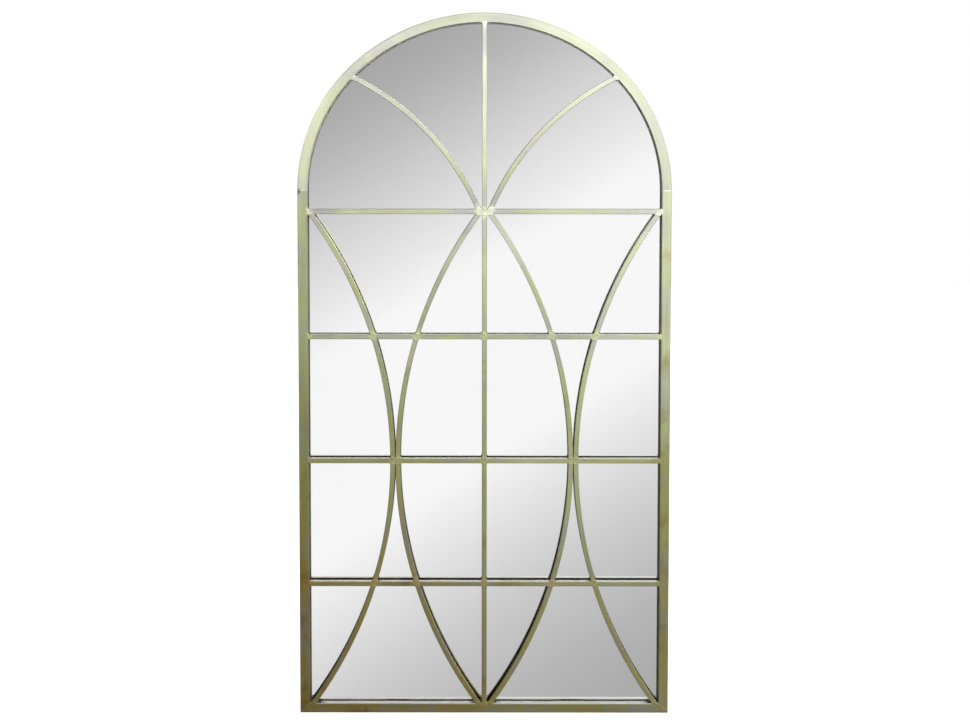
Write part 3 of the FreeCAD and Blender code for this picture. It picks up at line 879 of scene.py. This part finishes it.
# %% Make the hanger rings
def wire_ring(name, node, body):
    low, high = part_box(node)
    wire = (high.y - low.y) / 2 * 1.04
    middle_x, depth = (low.x + high.x) / 2, (low.y + high.y) / 2
    bend, leg = 0.0025, 0.0045
    straight = (high.x - low.x) / 2 - wire - bend
    bm = bmesh.new()
    turn = Matrix.Rotation(math.radians(90), 4, "Y")
    turn.translation = (middle_x - straight, depth, 0.0)
    section = bmesh.ops.create_circle(bm, cap_ends=False, segments=20, radius=wire, matrix=turn)
    ring = list({e for v in section["verts"] for e in v.link_edges})

    def run(edges, vector):
        made = bmesh.ops.extrude_edge_only(bm, edges=edges)["geom"]
        bmesh.ops.translate(bm, verts=[g for g in made if isinstance(g, bmesh.types.BMVert)], vec=vector)
        return [g for g in made if isinstance(g, bmesh.types.BMEdge)
                and sum(v in made for v in g.verts) == 2 and len(g.link_faces) == 1]

    def bend_round(edges, x, z, degrees, steps):
        made = bmesh.ops.spin(bm, geom=edges, cent=(x, depth, z), axis=(0, 1, 0), steps=steps,
                              angle=math.radians(degrees), use_merge=False, use_duplicate=False)["geom_last"]
        return [g for g in made if isinstance(g, bmesh.types.BMEdge)]

    ring = run(ring, (2 * straight, 0, 0))
    ring = bend_round(ring, middle_x + straight, -bend, 90, 8)
    ring = run(ring, (0, 0, -leg))
    ring = bend_round(ring, middle_x, -bend - leg, 180, 28)
    ring = run(ring, (0, 0, leg))
    bend_round(ring, middle_x - straight, -bend, 90, 8)
    bmesh.ops.remove_doubles(bm, verts=bm.verts, dist=1e-5)
    piece = finish_piece(bm, name, zinc, body, smooth_below=60)
    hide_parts(node)
    print("size", rounded(piece.dimensions))


for side in ("left", "right"):
    wire_ring("round_ring_" + side, "hanger_ring_" + side, "ring_" + side)

# %% [markdown]
# ## Screws with a washer face
# The small screws have a hexagon head on a thin round flange, and a shallow dish in the top.
# One function turns a screw out of cones and an inset, and it takes the place of each CAD screw.
# Where that is comes from the solid's own corners.

# %% Find the separate solids in a node
def loose_parts(node):
    """Lowest and highest corner of each separate solid in a node."""
    bm = bmesh.new()
    bm.from_mesh(nodes[node].data)
    bmesh.ops.remove_doubles(bm, verts=bm.verts, dist=1e-6)
    seen, found = set(), []
    for first in bm.verts:
        if first in seen:
            continue
        seen.add(first)
        part, edge = [], [first]
        while edge:
            vert = edge.pop()
            part.append(vert.co.copy())
            fresh = {e.other_vert(vert) for e in vert.link_edges} - seen
            seen |= fresh
            edge.extend(fresh)
        found.append([Vector([pick(p[k] for p in part) for k in range(3)]) for pick in (min, max)])
    bm.free()
    return found


print("separate screws", len(loose_parts("clip_screws")), "and", len(loose_parts("hanger_screws")))

# %% Make the screws
def screw_shape(bm, x, z, tip, top):
    """Hexagon head with a flange and a dish, and a ribbed shank, pointing to the wall."""
    head, flange, head_radius = 0.0020, 0.0006, 0.0034
    rib_radius, root_radius, ribs = 0.00175, 0.0014, 6
    seat = top - head
    turn = Matrix.Rotation(math.radians(-90), 4, "X")

    def turned(radius_low, radius_high, low, high, segments, spin=0.0):
        place = Matrix.Translation((x, (low + high) / 2, z)) @ turn @ Matrix.Rotation(spin, 4, "Z")
        return bmesh.ops.create_cone(bm, cap_ends=True, cap_tris=False, segments=segments,
                                     radius1=radius_low, radius2=radius_high, depth=high - low,
                                     matrix=place)["verts"]

    verts = turned(head_radius, head_radius, seat + flange * 0.5, top, 6, uneven(x, z, 3.0))
    round_edges(bm, list({e for v in verts for e in v.link_edges}), 0.0003, 2)
    cap = [f for f in bm.faces if all(abs(v.co.y - top) < 1e-6 for v in f.verts)
           and (f.calc_center_median() - Vector((x, top, z))).length < 0.001]
    bmesh.ops.inset_region(bm, faces=cap, thickness=0.0007)
    bmesh.ops.translate(bm, verts=list({v for f in cap for v in f.verts}), vec=(0, -0.0005, 0))
    turned(head_radius * 1.22, head_radius * 1.12, seat, seat + flange, 28)
    for rib in range(ribs):
        low, high = (tip + (seat - tip) * step / ribs for step in (rib, rib + 1))
        turned(rib_radius, root_radius, low, high, 14)


for node, name in (("clip_screws", "clip_screw_heads"), ("hanger_screws", "hanger_screw_heads")):
    bm = bmesh.new()
    for low, high in loose_parts(node):
        screw_shape(bm, (low.x + high.x) / 2, (low.z + high.z) / 2, low.y, high.y)
    piece = finish_piece(bm, name, zinc, "mirror", smooth_below=30)
    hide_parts(node)

# %% [markdown]
# ## Moulded bumpers
# The bumpers that keep the back off the wall are moulded, so their corners are round and the
# face is slightly smaller than the foot. A cube with a tapered top and bevelled edges gives it.

# %% Make the bumpers
bm = bmesh.new()
bumper_side, taper, rounding = 0.012, 0.86, 0.0012
for low, high in loose_parts("wall_bumpers"):
    x, y, z = (low + high) / 2
    size = Matrix.Diagonal((bumper_side, high.y - low.y, bumper_side, 1))
    made = bmesh.ops.create_cube(bm, size=1.0, matrix=Matrix.Translation((x, y, z)) @ size)
    outer = [v for v in made["verts"] if v.co.y > y]
    bmesh.ops.scale(bm, verts=outer, vec=(taper, 1, taper), space=Matrix.Translation((-x, 0, -z)))
    round_edges(bm, list({e for v in made["verts"] for e in v.link_edges}), rounding, 4)
bumpers = finish_piece(bm, "moulded_bumpers", rubber, "mirror", smooth_below=50)
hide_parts("wall_bumpers")

# %% [markdown]
# ## The room that the mirror shows
# A mirror shows what stands in front of it, here a pale backdrop. Its light is a broad band that
# falls off softly to grey above and below, slightly tilted. Round the backdrop lies the room,
# which lights the metal: a large soft light above it, a pale wall on the right, a dimmer room on
# the left, and little light from below, so the sides of the bars that face left stay dark. The
# world makes all of it from the ray's direction, so nothing has an edge in any view. Rays that
# go straight to the camera see plain white.

# %% The studio as a world
world = bpy.data.worlds.new("studio")
scene.world = world
world.use_nodes = True
sky = Tree(world.node_tree)
sky.data.nodes.clear()
fade, times, plus = sky.fade, sky.times, sky.plus
direction = sky.node("TexCoord").outputs["Generated"]
x, y, z = sky.split(direction)
forward = times(y, -1.0)

band_low, band_high = -0.5, 0.6  # where the backdrop's band is measured, along its tilt
tilt = sky.vector("DOT_PRODUCT", direction, (0.6, 0.17, -1.0))
placed = sky.node("MapRange", {"Value": tilt, "From Min": band_low, "From Max": band_high}).outputs[0]
band_levels = [
    (-0.50, 0.38), (-0.30, 0.41), (-0.25, 0.48), (-0.19, 0.65), (-0.13, 0.81), (-0.07, 0.98), (0.0, 1.17),
    (0.05, 1.16), (0.11, 0.98), (0.17, 0.80), (0.23, 0.635), (0.30, 0.50), (0.40, 0.38), (0.60, 0.29)]
stops = [((place - band_low) / (band_high - band_low), level) for place, level in band_levels]
backdrop = sky.ramp(placed, stops, interpolation="B_SPLINE")
on_backdrop = times(fade(forward, 0.0, 0.3), fade(x, -0.27, -0.168), fade(x, 0.42, 0.19),
                    fade(z, 0.25, 0.13), fade(z, -0.62, -0.48))

soft_light = times(fade(forward, 0.1, 0.5), fade(z, 0.14, 0.30), fade(z, 0.95, 0.70),
                   fade(x, -0.9, -0.05), 2.6)
dims_aside = plus(times(fade(x, 0.74, 0.48), 0.64), 0.36)
dims_low = plus(times(fade(z, -0.5, 0.35), 0.45), 0.55)
pale_wall = times(fade(x, 0.22, 0.45), fade(z, -0.9, -0.5), fade(forward, -0.5, 0.1), 1.9,
                  dims_aside, dims_low)
floor_glow = times(fade(z, -0.55, -0.9), fade(forward, -0.4, 0.3), 0.20)
behind = times(fade(y, 0.0, 0.5), 0.45)
left_room = times(fade(x, -0.20, -0.55), plus(times(fade(z, -0.7, 0.6), 0.34), 0.04))
room = 0.07
for light in (soft_light, pale_wall, behind, left_room, floor_glow):
    room = plus(light, room)

mirrored = sky.node("Mix", {0: on_backdrop, 2: room, 3: backdrop}, data_type="FLOAT").outputs[0]
sees_camera = sky.node("LightPath").outputs["Is Camera Ray"]
level = sky.node("Mix", {0: sees_camera, 2: mirrored, 3: 1.0}, data_type="FLOAT").outputs[0]
shining = sky.node("Background", {"Color": (1, 1, 1), "Strength": level})
sky.node("OutputWorld", {"Surface": shining.outputs[0]})
print("world nodes", len(sky.data.nodes))

# %% [markdown]
# ## Floor
# The floor is pale and wide. For the camera it adds a little light of its own, so that it comes
# out white but still keeps the object's soft shadow. It isn't shown to mirror rays, because the
# studio's band already has the floor's share in it.

# %% Make the floor
bm = bmesh.new()
bmesh.ops.create_grid(bm, x_segments=1, y_segments=1, size=9.0,
                      matrix=Matrix.Translation((0.0, 0.0, cad_box[0].z)))
floor = new_object("floor", to_mesh(bm, "floor"))
floor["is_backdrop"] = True
paper, tree, shader = start_material(
    "white_paper", {"Base Color": (0.85, 0.85, 0.85), "Roughness": 1.0, "Specular IOR Level": 0.0,
                    "Emission Color": (1, 1, 1)})
tree.feed(shader, {"Emission Strength": tree.times(tree.node("LightPath").outputs["Is Camera Ray"], 0.6)})
floor.data.materials.append(paper)
floor.visible_glossy = False
floor.visible_transmission = False
print("floor at", round(cad_box[0].z, 4))

# %% [markdown]
# ## Lamps
# The world gives most of the light. One broad lamp from the upper right gives the metal its
# direction: it stands near the top of the mirror, so the arch is brighter than the foot. A
# second one stands behind the mirror, where it lights the back for views from there.

# %% Make the lamps
lamps = (("key", (0.8, -1.8, 1.9), (0.1, 0.0, 0.2), 1.0, 8.0),
         ("rear", (-1.4, 2.2, 1.4), (0.0, 0.0, -0.3), 1.5, 30.0))
for name, place, target, size, power in lamps:
    data = bpy.data.lights.new(name, "AREA")
    data.shape = "SQUARE"
    data.size = size
    data.energy = power
    lamp = new_object(name, data)
    lamp.location = place
    lamp.rotation_euler = (Vector(target) - Vector(place)).to_track_quat("-Z", "Y").to_euler()
    print("lamp", name, power, "watts")

# %% [markdown]
# ## Camera
# The photograph was taken from about three metres, level with the upper third of the mirror and
# tilted down by two and a half degrees. The frame is shifted so that the mirror fills it.

# %% Make the camera
lens = bpy.data.cameras.new("camera")
lens.sensor_width = 36.0
lens.lens = 42.756
lens.shift_x = 0.0006
lens.shift_y = -0.1758
camera = new_object("camera", lens)
camera.location = (-0.0004, -2.9973, 0.2254)
camera.rotation_euler = (math.radians(90 - 2.44), math.radians(-0.05), 0.0)
scene.camera = camera
scene.view_settings.view_transform = "Standard"
print("camera at", rounded(camera.location))

# %% [markdown]
# ## Measure and finish
# The box of the dressed model is printed, to set beside the box of the solids printed at the start.
# The dressed model has to stay inside the box of the solids.

# %% Print the dressed model's box
bpy.context.view_layer.update()
new_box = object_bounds()
print("visual box", *map(rounded, new_box))
